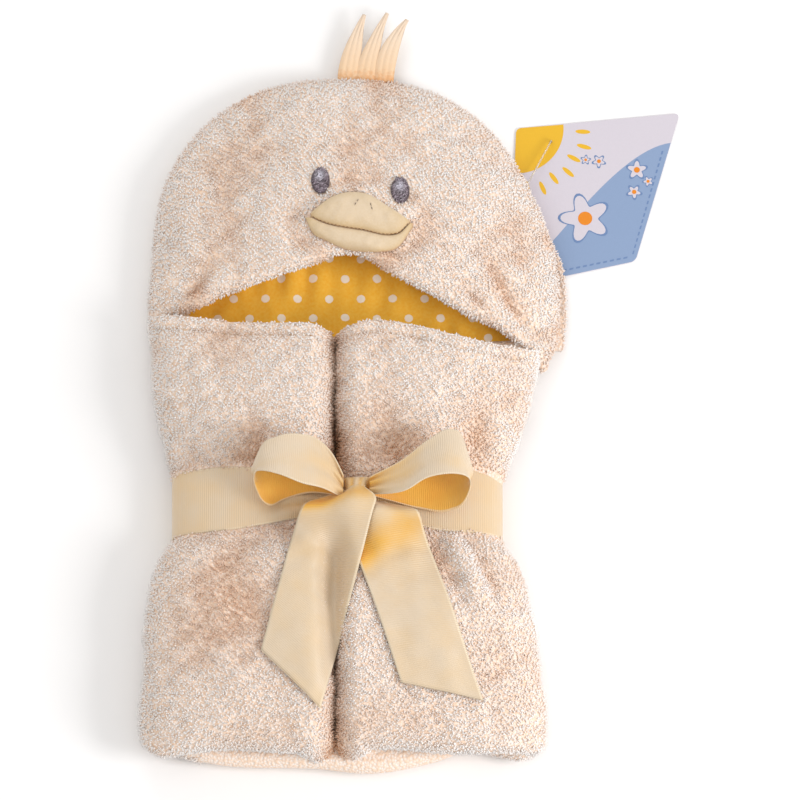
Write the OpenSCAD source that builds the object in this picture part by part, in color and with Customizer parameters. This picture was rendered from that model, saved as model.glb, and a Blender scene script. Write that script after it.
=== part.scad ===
// Hooded baby towel, folded, tied with a ribbon bow and lying on its back.
// The origin is the middle of the folded bundle's back face, which rests on z = 0.
// +Y points from the foot of the bundle to the crown of the hood, and +X to the right.

/* [Folded towel] */
// Half width of the bundle at its foot
foot_half = 141; // [130:1:150]
// Half width of the bundle under the ribbon
waist_half = 112; // [104:1:118]
// Half width of the bundle at its top edge
top_half = 136; // [126:1:142]
// Y of the foot end of the back panel
foot_y = -160; // [-172:1:-147]
// Y of the foot end of the two side folds
fold_foot_y = -145; // [-152:1:-137]
// Y of the top edge of the side folds
top_y = 160; // [157:1:161]
// Height of the bundle under the ribbon
waist_t = 46; // [42:1:48]
// How much the side folds swell above the ribbon height
swell = 11; // [6:1:11]
// Thickness of the back panel with its tucked plies
back_t = 12; // [10:1:14]
// X of the gap between the two side folds
gap_x = -7; // [-10:1:-4]

/* [Hood] */
// Half width of the hood
hood_half = 138; // [130:1:142]
// Y where the hood starts to curve in
hood_y = 175; // [173:1:179]
// Length of the domed end of the hood
hood_len = 172; // [164:1:176]
// Highest point of the hood's front layer
hood_peak = 51; // [46:1:54]
// Thickness of the hood's back layer
hood_back_t = 6; // [5:0.5:6]
// Y of the middle of the mouth edge
mouth_y = 209; // [203:1:213]
// Y of the mouth edge at its two corners
corner_y = 173; // [173:1:177]

/* [Face] */
// Width of the bill
bill_w = 68; // [60:1:72]
// Width of an eye
eye_w = 13; // [11:0.5:15]
// Height of an eye
eye_h = 20; // [17:0.5:22]
// Length of the tuft beyond the crown
tuft_len = 48; // [40:1:50]

/* [Ribbon] */
// Width of the ribbon
ribbon_w = 50; // [46:1:52]
// Width of the ribbon where the knot gathers it
gathered_w = 16; // [12:1:20]
// Thickness given to the ribbon
ribbon_t = 0.8; // [0.6:0.1:1]
// X of the knot
knot_x = 8; // [4:1:12]
// Y of the middle of the band
band_y = 33; // [32:1:36]

/* [Hang tag] */
// Thickness of the card
tag_t = 0.7; // [0.5:0.1:0.9]
// Radius of the hole for the plastic thread
tag_hole_r = 2.5; // [2:0.25:3]

/* [Hidden] */

// Clearance between neighbouring layers
gap = 0.3;
// Thickness of a soft solid at its thin outer edge
edge_t = 2;
// Middle of the waist and of the hood in X
waist_x = -5;
hood_x = 7;
// Flat run of the waist beside the ribbon's edge
waist_margin = 2;
// Relief under the back panel where the ribbon passes
band_relief = 1.4;
// Layers of the hood's front: inset of the rim, height at the rim, height in the middle
FRONT_FACE = [0, hood_back_t + 4 + gap, hood_peak];
FRONT_UNDER = [4, hood_back_t + gap, hood_peak - 4];
LINING_FACE = [9, hood_back_t + 3.4, hood_peak - 6.2];
LINING_UNDER = [10.5, hood_back_t + 2.1, hood_peak - 7.7];
// Thickness of the lining on the hood's back layer
lining_t = 1.5;
// Underside of the hood's back layer where the card lies beneath it
tag_room = 3;
tag_room_x = 80;

TERRY = [0.91, 0.83, 0.77];
LINING = [0.97, 0.72, 0.30];
FLEECE = [0.90, 0.81, 0.65];
RIBBON = [0.97, 0.89, 0.65];

function clamp(t) = max(0, min(1, t));
function mix(a, b, t) = a + (b - a) * t;
function steps(n) = [for (i = [0:n]) i / n];
// Round shoulder that falls from 1 in the middle to 0 at t = 1
function shoulder(t, n) = pow(max(0, 1 - pow(min(1, abs(t)), n)), 1 / n);
// Point of a unit disc for a point of the square from -1 to 1
function disc(u, v) = [u * sqrt(1 - v * v / 2), v * sqrt(1 - u * u / 2)];

// Closed solid between two grids of points, each grid[column][row]
module sheet_solid(top, under, ring = false) {
    columns = len(top);
    rows = len(top[0]);
    below = columns * rows;
    spans = ring ? columns - 1 : columns - 2;
    function id(i, j) = (i % columns) * rows + j;
    function quad(a, b, c, d) = [[a, b, c], [a, c, d]];
    last_i = columns - 1;
    last_j = rows - 1;
    top_faces = [for (i = [0:spans], j = [0:rows - 2])
        each quad(id(i, j), id(i, j + 1), id(i + 1, j + 1), id(i + 1, j))];
    under_faces = [for (f = top_faces) [f[2] + below, f[1] + below, f[0] + below]];
    row_walls = [for (i = [0:spans]) each concat(
        quad(id(i, 0), id(i + 1, 0), id(i + 1, 0) + below, id(i, 0) + below),
        quad(id(i + 1, last_j), id(i, last_j), id(i, last_j) + below, id(i + 1, last_j) + below))];
    column_walls = ring ? [] : [for (j = [0:rows - 2]) each concat(
        quad(id(0, j + 1), id(0, j), id(0, j) + below, id(0, j + 1) + below),
        quad(id(last_i, j), id(last_i, j + 1), id(last_i, j + 1) + below, id(last_i, j) + below))];
    polyhedron([for (g = [top, under], column = g) each column],
        concat(top_faces, under_faces, row_walls, column_walls));
}

// Folded towel ---------------------------------------------------------

// Distance beyond the flat waist, measured away from the ribbon
function off_waist(y) = max(0, abs(y - band_y) - ribbon_w / 2 - waist_margin);
// Half width of the bundle at y
function half_at(y) = y < band_y
    ? waist_half + (foot_half - waist_half) * pow(clamp(off_waist(y) / 120), 0.5)
    : waist_half + (top_half - waist_half) * pow(clamp(off_waist(y) / 80), 0.8);
// Middle of the bundle in X at y
function middle_at(y) = waist_x * (1 - clamp(off_waist(y) / 60));
// Height of the bundle at y
function height_at(y) = waist_t + swell * sin(180 * clamp(off_waist(y) / 150));
// Rounding of the side folds' foot end
function foot_round(y) = shoulder(clamp((fold_foot_y + 22 - y) / 22), 2.2);
function top_round(y) = mix(0.72, 1, shoulder(clamp((y - top_y + 18) / 18), 2.2));
// Dip of the folds' inner edges into the gap
function gap_dip(x) = 1 - 0.5 * exp(-pow((x - gap_x) / 13, 2));
function fold_z(x, y) = let (
        base = back_t + gap + edge_t,
        side = shoulder((x - middle_at(y)) / half_at(y), 3.2))
    base + (height_at(y) - base) * side * gap_dip(x) * foot_round(y) * top_round(y);

// One side fold, on the side given by -1 or 1
module side_fold(side) {
    columns = [for (s = steps(14)) sin(90 * s)];
    rows = [for (s = steps(22)) mix(fold_foot_y, top_y, (1 - cos(180 * s)) / 2)];
    inner = gap_x + side * 1.5;
    function x_at(s, y) = mix(inner, middle_at(y) + side * (half_at(y) - 0.3), s);
    ordered = side > 0 ? columns : [for (i = [14:-1:0]) columns[i]];
    sheet_solid(
        [for (s = ordered) [for (y = rows) [x_at(s, y), y, fold_z(x_at(s, y), y)]]],
        [for (s = ordered) [for (y = rows) [x_at(s, y), y, back_t + gap]]]);
}

module towel_back_panel() {
    ys = [for (s = steps(36)) mix(foot_y, top_y, s)];
    // The panel stays inside the side folds, and round at its foot corners
    function half(y) = (half_at(y) - 1) * mix(0.9, 1, shoulder(clamp((foot_y + 26 - y) / 26), 2));
    outline = concat(
        [for (y = ys) [middle_at(y) + half(y), y]],
        [for (i = [36:-1:0]) [middle_at(ys[i]) - half(ys[i]), ys[i]]]);
    color(TERRY)
    difference() {
        linear_extrude(back_t) polygon(outline);
        translate([-200, band_y - ribbon_w / 2 - waist_margin, -1])
            cube([400, ribbon_w + 2 * waist_margin, 1 + band_relief]);
    }
}

module towel_left_fold() {
    color(TERRY) side_fold(-1);
}

module towel_right_fold() {
    color(TERRY) side_fold(1);
}

// Row of hem stitches lying on a side fold, 7 mm from its top edge
module hem_stitching(x_from, x_to) {
    stitch_y = top_y - 7;
    xs = [for (s = steps(16)) mix(x_from, x_to, s)];
    lift = 0.5;
    sheet_solid(
        [for (x = xs) [for (y = [stitch_y - 0.5, stitch_y + 0.5]) [x, y, fold_z(x, y) + lift + 0.8]]],
        [for (x = xs) [for (y = [stitch_y - 0.5, stitch_y + 0.5]) [x, y, fold_z(x, y) + lift]]]);
}

module left_hem_stitching() {
    color("wheat") hem_stitching(-122, gap_x - 16);
}

module right_hem_stitching() {
    color("wheat") hem_stitching(gap_x + 16, 122);
}

// Hood ------------------------------------------------------------------

// Y of the hood's outline at x, drawn in by an inset
function dome_y(x, inset = 0) = hood_y
    + (hood_len - inset) * shoulder((x - hood_x) / (hood_half - inset), 2.4);
// Y of the mouth edge at x
function mouth_at(x) = corner_y
    + (mouth_y - corner_y) * (1 - pow(clamp(abs(x - hood_x) / 124), 1.5));
// Way from the hood's middle to its inset outline, 1 on the outline
function hood_r(x, y, inset) = pow(
    pow(abs(x - hood_x) / (hood_half - inset), 2.4)
    + pow(max(0, y - hood_y) / (hood_len - inset), 2.4), 1 / 2.4);
// Height of one face of the hood's front layers at a point
function hood_z(x, y, face = FRONT_FACE) =
    mix(face[1], face[2], shoulder(hood_r(x, y, face[0]), 2.1));

function hood_outline(inset) = concat(
    [for (a = [0:5:180]) let (x = hood_x + (hood_half - inset) * cos(a)) [x, dome_y(x, inset)]],
    [[hood_x - hood_half + inset, corner_y - 8], [hood_x + hood_half - inset, corner_y - 8]]);

// Curved layer of the hood's front between two faces, from mouth edge to crown
module hood_layer(face, under) {
    reach = hood_half - face[0] - 2;
    columns = [for (s = [-10:10]) hood_x + reach * sin(9 * s)];
    rows = [for (s = steps(10)) sin(90 * s)];
    function y_at(x, t) = mix(mouth_at(x), dome_y(x, face[0]), t);
    sheet_solid(
        [for (x = columns) [for (t = rows) let (y = y_at(x, t)) [x, y, hood_z(x, y, face)]]],
        [for (x = columns) [for (t = rows) let (y = y_at(x, t)) [x, y, hood_z(x, y, under)]]]);
}

module hood_back() {
    color(TERRY)
    difference() {
        linear_extrude(hood_back_t) polygon(hood_outline(0));
        translate([tag_room_x, corner_y - 20, -1])
            cube([100, hood_len + 40, 1 + tag_room]);
    }
}

module hood_front() {
    color(TERRY) hood_layer(FRONT_FACE, FRONT_UNDER);
}

module hood_lining_back() {
    color(LINING)
    translate([0, 0, hood_back_t + gap])
        linear_extrude(lining_t) polygon(hood_outline(9));
}

module hood_lining_front() {
    color(LINING) hood_layer(LINING_FACE, LINING_UNDER);
}

// Face ------------------------------------------------------------------

bill_x = 10;
// Halves of the bill: middle Y, half height, rise of both ends, drop to the right, thickness
BILL_UPPER = [237, 13, 2, 5, 8];
BILL_LOWER = [217.5, 5, 9, 3, 5];

// Soft patch sewn on the hood, domed in its middle; bend lifts both ends and drop lowers the right
module hood_patch(cx, cy, rx, ry, bend, drop, rise, n = 10) {
    grid = [for (i = [0:n]) [for (j = [0:n])
        let (d = disc(2 * i / n - 1, 2 * j / n - 1), x = cx + rx * d[0],
             y = cy + ry * d[1] + bend * d[0] * d[0] - drop * d[0])
        [x, y, hood_z(x, y) + gap, norm(d)]]];
    sheet_solid(
        [for (column = grid) [for (p = column) [p[0], p[1], p[2] + 0.6 + rise * shoulder(p[3], 2)]]],
        [for (column = grid) [for (p = column) [p[0], p[1], p[2]]]]);
}

module bill_upper() {
    b = BILL_UPPER;
    color(FLEECE) hood_patch(bill_x, b[0], bill_w / 2, b[1], b[2], b[3], b[4]);
}

module bill_lower() {
    b = BILL_LOWER;
    color(FLEECE) hood_patch(bill_x, b[0], bill_w / 2 + 2, b[1], b[2], b[3], b[4]);
}

// Height of the upper bill's face at a part d of the way to its outline
function bill_face(d) = let (
        x = bill_x + bill_w / 2 * d[0],
        y = BILL_UPPER[0] + BILL_UPPER[1] * d[1] + BILL_UPPER[2] * d[0] * d[0] - BILL_UPPER[3] * d[0])
    [x, y, hood_z(x, y) + gap + 0.6 + BILL_UPPER[4] * shoulder(norm(d), 2)];

// Thread lying on the upper bill along a list of disc points
module bill_thread(path, thread = 0.9) {
    sheet_solid(
        [for (d = path) let (p = bill_face(d)) [for (w = [-0.5, 0.5]) p + [0, w * thread, gap + thread]]],
        [for (d = path) let (p = bill_face(d)) [for (w = [-0.5, 0.5]) p + [0, w * thread, gap]]]);
}

module bill_stitching() {
    color("saddlebrown") bill_thread([for (a = [200:10:340]) 0.86 * [cos(a), sin(a)]]);
}

module nostril_stitches() {
    color("saddlebrown") {
        bill_thread([[-0.14, 0.2], [-0.05, 0.55]]);
        bill_thread([[0.05, 0.55], [0.14, 0.2]]);
    }
}

module left_eye() {
    color("dimgray") hood_patch(-17, 262, eye_w / 2, eye_h / 2, 0, 0, 1);
}

module right_eye() {
    color("dimgray") hood_patch(38, 255, eye_w / 2, eye_h / 2, 0, 0, 1);
}

// Tuft of three felt feathers, standing out of the crown seam
tuft_x = 13;
tuft_y = 349;
tuft_z = 9;
tuft_t = 3;

module tuft() {
    // Each feather: base X, half width of its base, tip beyond the base's X, length
    feathers = [[tuft_x - 11, 9, 12, 0.88], [tuft_x + 1, 9, 15, 1], [tuft_x + 11, 8, 18, 0.8]];
    color("bisque")
    translate([0, tuft_y, tuft_z])
        linear_extrude(tuft_t) {
            translate([tuft_x - 20, 0]) square([39, tuft_len * 0.4]);
            for (f = feathers) polygon(concat(
                [for (t = steps(8)) [f[0] - f[1] * (1 - t) + f[2] * t * t, tuft_len * f[3] * t]],
                [for (t = [7 / 8:-1 / 8:0])
                    [f[0] + f[1] * shoulder(t, 2.6) * 0.95 + f[2] * t * t * 0.7, tuft_len * f[3] * t]]));
        }
}

// Ribbon ----------------------------------------------------------------

// Room between the band and the folds
band_clear = 1.2;
// Outline of the waist in X and Z, as a closed list, pushed out by a distance
function waist_ring(out) = let (
        base = back_t + gap + edge_t,
        half = waist_half + band_clear + out,
        rise = waist_t + band_clear + out - base,
        over = [for (a = [0:4:180])
            let (c = cos(a)) [waist_x + half * c, base + rise * shoulder(c, 3.2)]],
        under = [for (t = steps(8)) [waist_x - half * (1 - 2 * t), band_relief - gap - out]])
    concat(over, under);

// The band narrows to the gathered width where it meets the knot
function band_width(x, z) = z < back_t + 10 ? ribbon_w - 4
    : mix(gathered_w, ribbon_w - 4, clamp((abs(x - knot_x) - 12) / 55));

module ribbon_band() {
    inner = waist_ring(0);
    outer = waist_ring(ribbon_t);
    function strip(ring) = [for (p = ring) let (half = band_width(p[0], p[1]) / 2)
        [for (w = [-1, 0, 1]) [p[0], band_y - w * half, p[1]]]];
    color(RIBBON) sheet_solid(strip(outer), strip(inner), ring = true);
}

knot_z = waist_t + band_clear + ribbon_t + gap;
knot_t = 13;

module bow_knot() {
    n = 8;
    grid = [for (i = [0:n]) [for (j = [0:n]) disc(2 * i / n - 1, 2 * j / n - 1)]];
    color(RIBBON)
    translate([knot_x, band_y, knot_z])
        sheet_solid(
            [for (column = grid) [for (d = column)
                [14 * d[0], 13 * d[1], 3 + (knot_t - 3) * shoulder(norm(d), 2.2)]]],
            [for (column = grid) [for (d = column) [14 * d[0], 13 * d[1], 0]]]);
}

// Loops of the bow, seen along Y as a drop that opens away from the knot
loop_z = 62;
function drop(a, len, tall) = [len * (1 + cos(a)) / 2, tall / 2 * sin(a) * cos(a / 2)
    + tall * 0.16 * (1 + cos(a)) / 2];
function drop_out(a, len, tall) = let (d = drop(a + 1, len, tall) - drop(a - 1, len, tall))
    [d[1], -d[0]] / norm(d);

module bow_loop(side, len, tall, lean) {
    angles = [for (s = [-12:12]) 11.5 * s];
    function at(a, out, w) = let (
            p = drop(a, len, tall) + out * drop_out(a, len, tall),
            width = mix(gathered_w, ribbon_w - 6, clamp(p[0] / (len * 0.6))))
        [knot_x + side * (15 + p[0]), band_y + lean * p[0] / len + w * width, loop_z + p[1]];
    ends = side > 0 ? [0.5, 0, -0.5] : [-0.5, 0, 0.5];
    color(RIBBON) sheet_solid(
        [for (a = angles) [for (w = ends) at(a, ribbon_t / 2, w)]],
        [for (a = angles) [for (w = ends) at(a, -ribbon_t / 2, w)]]);
}

module bow_loop_left() {
    bow_loop(-1, 56, 42, 14);
}

module bow_loop_right() {
    bow_loop(1, 64, 46, 16);
}

// Height of the two tails over the folds, and the Y where they leave the bow
tail_z = waist_t + swell + 4.5;
tail_y = 7;

// Ribbon tail from the bow to its slanted end; each end is [left X, left Y, right X, right Y]
module ribbon_tail(start, end) {
    rows = steps(10);
    function at(side, t) = [mix(start[side], end[side * 2], t), mix(tail_y, end[side * 2 + 1], t)];
    function z(t) = tail_z + 2 * sin(180 * t);
    columns = [for (side = [0, 1]) [for (i = [10:-1:0]) let (t = rows[i]) concat(at(side, t), z(t))]];
    middle = [for (j = [0:10]) (columns[0][j] + columns[1][j]) / 2];
    grid = [columns[0], middle, columns[1]];
    color(RIBBON) sheet_solid(
        [for (column = grid) [for (p = column) p + [0, 0, ribbon_t]]], grid);
}

module ribbon_tail_left() {
    ribbon_tail([-20, 7], [-61, -82, -13, -123]);
}

module ribbon_tail_right() {
    ribbon_tail([9.5, 34], [38.5, -104, 96.5, -116]);
}

// Hang tag --------------------------------------------------------------

// Corners of the card, its corner radius and the hole's place
TAG = [[115.5, 200], [201, 219], [232, 327], [118.5, 316]];
tag_r = 4;
tag_middle = [150, 263];
tag_hole = [143, 306];

module hang_tag() {
    color("lightsteelblue")
    linear_extrude(tag_t)
        difference() {
            hull() for (p = TAG)
                translate(p + tag_r * [sign(tag_middle[0] - p[0]), sign(tag_middle[1] - p[1])])
                    circle(tag_r, $fn = 32);
            translate(tag_hole) circle(tag_hole_r, $fn = 48);
        }
}

// Clear thread from the hood's seam to the card, then down through its hole
module tag_fastener() {
    thread_r = 0.5;
    seam = [hood_x + 118, 270, 8];
    bend = [tag_hole[0], tag_hole[1], 4];
    run = bend - seam;
    color("whitesmoke") {
        translate(seam)
            rotate([0, acos(run[2] / norm(run)), atan2(run[1], run[0])])
                cylinder(h = norm(run), r = thread_r, $fn = 24);
        translate([tag_hole[0], tag_hole[1], 0.1])
            cylinder(h = 4, r = thread_r, $fn = 24);
        translate(bend) sphere(0.7, $fn = 24);
    }
}

towel_back_panel();
towel_left_fold();
towel_right_fold();
left_hem_stitching();
right_hem_stitching();
hood_back();
hood_front();
hood_lining_back();
hood_lining_front();
bill_upper();
bill_lower();
bill_stitching();
nostril_stitches();
left_eye();
right_eye();
tuft();
ribbon_band();
bow_knot();
bow_loop_left();
bow_loop_right();
ribbon_tail_left();
ribbon_tail_right();
hang_tag();
tag_fastener();
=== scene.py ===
"""Hooded baby towel, folded, tied with a ribbon bow and lying on its back.

Everything is worked out in millimetres in the CAD frame (+Y from foot to crown, +Z up)
and turned into metres when a mesh is made.
"""

import math

import bpy
import numpy as np
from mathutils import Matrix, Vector
from mathutils.bvhtree import BVHTree


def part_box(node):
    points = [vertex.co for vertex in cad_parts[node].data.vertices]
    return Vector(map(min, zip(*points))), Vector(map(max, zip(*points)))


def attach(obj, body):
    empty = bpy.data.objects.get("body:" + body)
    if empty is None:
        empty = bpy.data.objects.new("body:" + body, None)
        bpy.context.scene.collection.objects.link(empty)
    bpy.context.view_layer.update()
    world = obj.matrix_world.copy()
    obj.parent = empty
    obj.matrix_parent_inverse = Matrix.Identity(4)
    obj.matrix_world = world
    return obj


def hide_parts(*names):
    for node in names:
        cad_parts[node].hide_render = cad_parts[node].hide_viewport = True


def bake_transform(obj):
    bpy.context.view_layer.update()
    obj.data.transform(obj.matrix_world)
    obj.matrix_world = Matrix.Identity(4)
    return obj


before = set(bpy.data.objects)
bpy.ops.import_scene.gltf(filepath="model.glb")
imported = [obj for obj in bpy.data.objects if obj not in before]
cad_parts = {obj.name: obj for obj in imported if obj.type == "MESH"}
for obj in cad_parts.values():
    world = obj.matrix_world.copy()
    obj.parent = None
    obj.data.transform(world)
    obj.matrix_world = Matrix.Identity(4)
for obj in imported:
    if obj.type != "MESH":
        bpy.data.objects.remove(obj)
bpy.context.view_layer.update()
rng = np.random.default_rng(7)
MM = 0.001


def cad_box(node):
    """Lowest and highest corner of a CAD node, in millimetres."""
    low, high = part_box(node)
    return np.array(low) / MM, np.array(high) / MM


PANEL_LOW, PANEL_HIGH = cad_box("towel_back_panel")
FOLD_LOW, FOLD_HIGH = cad_box("towel_left_fold")
HOOD_LOW, HOOD_HIGH = cad_box("hood_back")
BAND_LOW, BAND_HIGH = cad_box("ribbon_band")
KNOT_LOW, KNOT_HIGH = cad_box("bow_knot")
TUFT_LOW, TUFT_HIGH = cad_box("tuft")
TAG_LOW, TAG_HIGH = cad_box("hang_tag")

FOLD_FOOT_Y = FOLD_LOW[1]
TOP_Y = PANEL_HIGH[1]
BAND_Y = (BAND_LOW[1] + BAND_HIGH[1]) / 2
BAND_WIDTH = BAND_HIGH[1] - BAND_LOW[1]
KNOT_X = (KNOT_LOW[0] + KNOT_HIGH[0]) / 2
RIBBON = 50.0  # width of the ribbon
GATHERED = 16.0  # width where the knot draws it in
RIBBON_T = 0.7  # its thickness
GAP_X = FOLD_HIGH[0] + 1.5  # middle of the gap between the two folds
HOOD_X = (HOOD_LOW[0] + HOOD_HIGH[0]) / 2
HOOD_TOP_Y = HOOD_HIGH[1]

PLY = 3.4  # thickness of one ply of terry under its pile
PITCH = 1.85  # distance between neighbouring pile loops
PILE_FLOOR = 0.3  # the pile is pressed flat this far above the table


# Small maths ---------------------------------------------------------------
def smooth(t):
    t = np.clip(t, 0, 1)
    return t * t * (3 - 2 * t)


def bump(d, width):
    return np.exp(-((d / width) ** 2))


def curve(knots, x):
    """Smooth curve through (x, value) knots, by cubic Hermite with central slopes."""
    kx = np.array([k[0] for k in knots], float)
    ky = np.array([k[1] for k in knots], float)
    slope = np.gradient(ky, kx)
    x = np.clip(x, kx[0], kx[-1])
    i = np.clip(np.searchsorted(kx, x, side="right") - 1, 0, len(kx) - 2)
    h = kx[i + 1] - kx[i]
    t = (x - kx[i]) / h
    return (
        (2 * t**3 - 3 * t**2 + 1) * ky[i]
        + (t**3 - 2 * t**2 + t) * h * slope[i]
        + (3 * t**2 - 2 * t**3) * ky[i + 1]
        + (t**3 - t**2) * h * slope[i + 1]
    )


def path(points, n):
    """n points of a smooth curve through the given points, evenly spread by knot."""
    points = np.array(points, float)
    knots = np.linspace(0, 1, len(points))
    t = np.linspace(0, 1, n)
    return np.stack(
        [curve(list(zip(knots, points[:, k])), t) for k in range(points.shape[1])], 1
    )


def run_length(points):
    """Distance along a list of points, from 0 at the first."""
    return np.concatenate([[0], np.cumsum(np.linalg.norm(np.diff(points, axis=0), axis=1))])


def make_noise(count, low, high):
    """Sum of random waves with wavelengths from low to high, about -1 to 1."""
    length = rng.uniform(low, high, count)
    angle = rng.uniform(0, 2 * math.pi, count)
    phase = rng.uniform(0, 2 * math.pi, count)
    kx, ky = 2 * math.pi / length * np.cos(angle), 2 * math.pi / length * np.sin(angle)

    def noise(u, v):
        total = np.zeros(np.broadcast(u, v).shape)
        for a, b, c in zip(kx, ky, phase):
            total += np.sin(a * u + b * v + c)
        return total / math.sqrt(count / 2) / 1.6

    return noise


def grid_normals(p):
    du = np.gradient(p, axis=0)
    dv = np.gradient(p, axis=1)
    n = np.cross(du, dv)
    return n / np.maximum(np.linalg.norm(n, axis=2, keepdims=True), 1e-9)


# Mesh making ---------------------------------------------------------------
def new_mesh(name, verts, faces, attributes=None, smooth_faces=True):
    """Object from vertices in millimetres, an array of equal-sided faces and float attributes."""
    verts = np.asarray(verts, np.float32) * MM
    faces = np.asarray(faces, np.int32)
    mesh = bpy.data.meshes.new(name)
    mesh.vertices.add(len(verts))
    mesh.vertices.foreach_set("co", verts.ravel())
    mesh.loops.add(faces.size)
    mesh.loops.foreach_set("vertex_index", faces.ravel())
    mesh.polygons.add(len(faces))
    mesh.polygons.foreach_set("loop_start", np.arange(0, faces.size, faces.shape[1], dtype=np.int32))
    mesh.update(calc_edges=True)
    mesh.polygons.foreach_set("use_smooth", np.full(len(faces), smooth_faces))
    for key, values in (attributes or {}).items():
        layer = mesh.attributes.new(key, "FLOAT", "POINT")
        layer.data.foreach_set("value", np.asarray(values, np.float32).ravel())
    mesh.validate()
    obj = bpy.data.objects.new(name, mesh)
    bpy.context.scene.collection.objects.link(obj)
    return obj


def grid_faces(nu, nv, offset=0, flip=False, ring=False):
    i = np.arange(nu if ring else nu - 1)[:, None]
    j = np.arange(nv - 1)[None, :]
    i1 = (i + 1) % nu
    quads = np.stack([i * nv + j, i1 * nv + j, i1 * nv + j + 1, i * nv + j + 1], -1)
    quads = quads.reshape(-1, 4) + offset
    return quads[:, ::-1] if flip else quads


def cloth(name, p, thick, attributes=None, ring=False, normals=None):
    """Closed thin solid around a grid of points: its middle surface moved out and in."""
    nu, nv = p.shape[:2]
    if normals is None:
        normals = grid_normals(p if not ring else np.concatenate([p[-2:], p, p[:2]]))
        if ring:
            normals = normals[2:-2]
    verts = np.concatenate([
        (p + normals * thick / 2).reshape(-1, 3),
        (p - normals * thick / 2).reshape(-1, 3),
    ])
    below = nu * nv
    faces = [grid_faces(nu, nv, 0, False, ring), grid_faces(nu, nv, below, True, ring)]

    def wall(edge):
        a, b = edge[:-1], edge[1:]
        faces.append(np.stack([b, a, a + below, b + below], 1))

    columns = np.arange(nu + 1) % nu if ring else np.arange(nu)
    wall(columns * nv)
    wall((columns * nv + nv - 1)[::-1])
    if not ring:
        rows = np.arange(nv)
        wall(rows[::-1])
        wall((nu - 1) * nv + rows)
    values = {
        k: np.concatenate([np.ravel(v), np.ravel(v)]) for k, v in (attributes or {}).items()
    }
    return new_mesh(name, verts, np.concatenate(faces), values)


def join_meshes(name, parts):
    """One object from several of this script's objects, which are used up."""
    bpy.ops.object.select_all(action="DESELECT")
    for part in parts:
        part.select_set(True)
    bpy.context.view_layer.objects.active = parts[0]
    bpy.ops.object.join()
    parts[0].name = name
    return parts[0]


# One pile loop is a small bean: its middle section, and its two ends
BEAN = np.array([[0, 0, -0.5], [1, 0, -0.05], [-0.5, 0.87, 0.02], [-0.5, -0.87, -0.02], [0, 0, 0.5]])
BEAN_FACES = np.array([[0, 2, 1], [0, 3, 2], [0, 1, 3], [4, 1, 2], [4, 2, 3], [4, 3, 1]])


def pile(name, p, n, keep, shade, length=3.1, radius=0.85, lean=0.75, pitch=PITCH, sink=0.25):
    """Terry pile: one bean of yarn per cell of the grid's surface, leaning at random.

    keep and shade are grids: how likely a loop is, and how much painted shade its place gets.
    """
    du = np.linalg.norm(np.diff(p, axis=0), axis=2)
    dv = np.linalg.norm(np.diff(p, axis=1), axis=2)
    area = (du[:, :-1] + du[:, 1:]) / 2 * (dv[:-1] + dv[1:]) / 2
    chance = (keep[:-1, :-1] + keep[1:, 1:]) / 2
    want = area * chance / pitch**2
    count = np.floor(want + rng.random(want.shape)).astype(int)
    cell = np.repeat(np.arange(count.size), count.ravel())
    ci, cj = np.divmod(cell, p.shape[1] - 1)
    # Even spread in a cell: a golden-ratio walk from a random start
    order = np.arange(len(cell))
    fu = (order * 0.7549 + rng.random(len(cell)) * 0.35) % 1
    fv = (order * 0.5698 + rng.random(len(cell)) * 0.35) % 1

    def at(g):
        if g.ndim == 3:
            a, b = fu[:, None], fv[:, None]
        else:
            a, b = fu, fv
        return (g[ci, cj] * (1 - a) + g[ci + 1, cj] * a) * (1 - b) + (
            g[ci, cj + 1] * (1 - a) + g[ci + 1, cj + 1] * a
        ) * b

    root, up, dark = at(p), at(n), at(shade)
    axis = up + lean * rng.normal(0, 0.6, root.shape)
    axis /= np.linalg.norm(axis, axis=1, keepdims=True)
    side = np.cross(axis, rng.normal(0, 1, root.shape))
    side /= np.linalg.norm(side, axis=1, keepdims=True)
    other = np.cross(axis, side)
    size = rng.uniform(0.75, 1.25, len(root))
    long = (length * size)[:, None]
    wide = (radius * rng.uniform(0.8, 1.2, len(root)))[:, None]
    centre = root + axis * long * (0.5 - sink)
    verts = (
        centre[:, None, :]
        + BEAN[None, :, 0:1] * (side * wide)[:, None, :]
        + BEAN[None, :, 1:2] * (other * wide)[:, None, :]
        + BEAN[None, :, 2:3] * (axis * long)[:, None, :]
    )
    verts[..., 2] = np.maximum(verts[..., 2], PILE_FLOOR)
    faces = BEAN_FACES[None] + (np.arange(len(root)) * len(BEAN))[:, None, None]
    tip = np.broadcast_to(BEAN[None, :, 2] + 0.5, verts.shape[:2])
    tone = np.broadcast_to(rng.random(len(root))[:, None], verts.shape[:2])
    # Each loop carries the painted shade of its place, which darkens its colour
    painted_shade = np.broadcast_to(dark[:, None], verts.shape[:2])
    return new_mesh(
        name, verts.reshape(-1, 3), faces.reshape(-1, 3), {"tip": tip, "tone": tone, "painted_shade": painted_shade}
    )


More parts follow.
